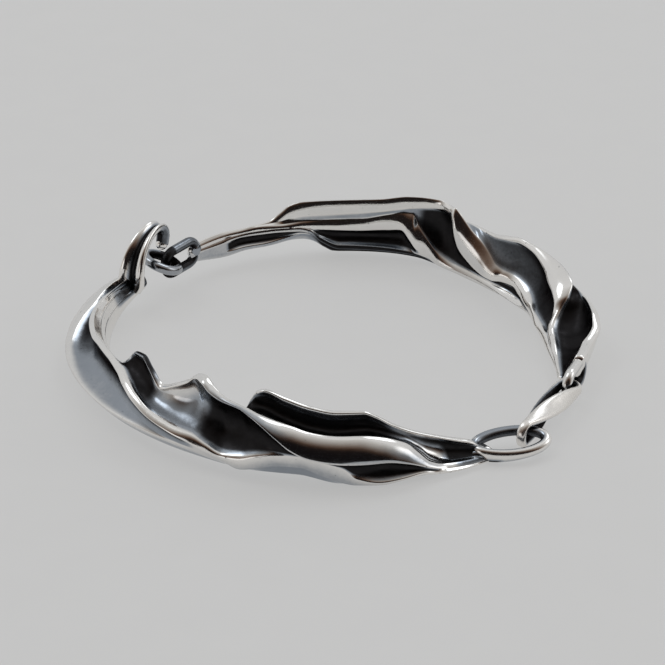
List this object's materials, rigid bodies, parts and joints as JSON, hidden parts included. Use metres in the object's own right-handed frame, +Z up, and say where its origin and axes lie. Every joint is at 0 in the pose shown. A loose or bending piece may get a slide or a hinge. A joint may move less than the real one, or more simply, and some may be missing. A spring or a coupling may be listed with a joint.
{
  "type": "hinged two-piece leaf bangle bracelet",
  "caption": "Oval silver wrist ring of two rigid halves of twisted folded leaves, joined by a flat link and closed by a hook and ring.",
  "frame": {"origin": "centre of the wrist opening, on the plane that the ring lies on", "axes": "+Z up through the wrist opening, along the way the wrist goes in; +X along the ring's longer width, toward the side with the flat link; +Y toward the back half"},
  "size_m": [0.0695, 0.0631, 0.0112],
  "materials": {
    "front_silver": "polished rims and bands over blackened hollows",
    "back_silver": "polished rims and bands over blackened hollows",
    "link_silver": "satin strap with bright turns",
    "ring_silver": "worn, partly blackened wire"
  },
  "bodies": {
    "root": {"front_half": "front_silver", "back_half": "back_silver", "side_link": "link_silver", "catch_ring": "ring_silver"}
  },
  "joints": []
}
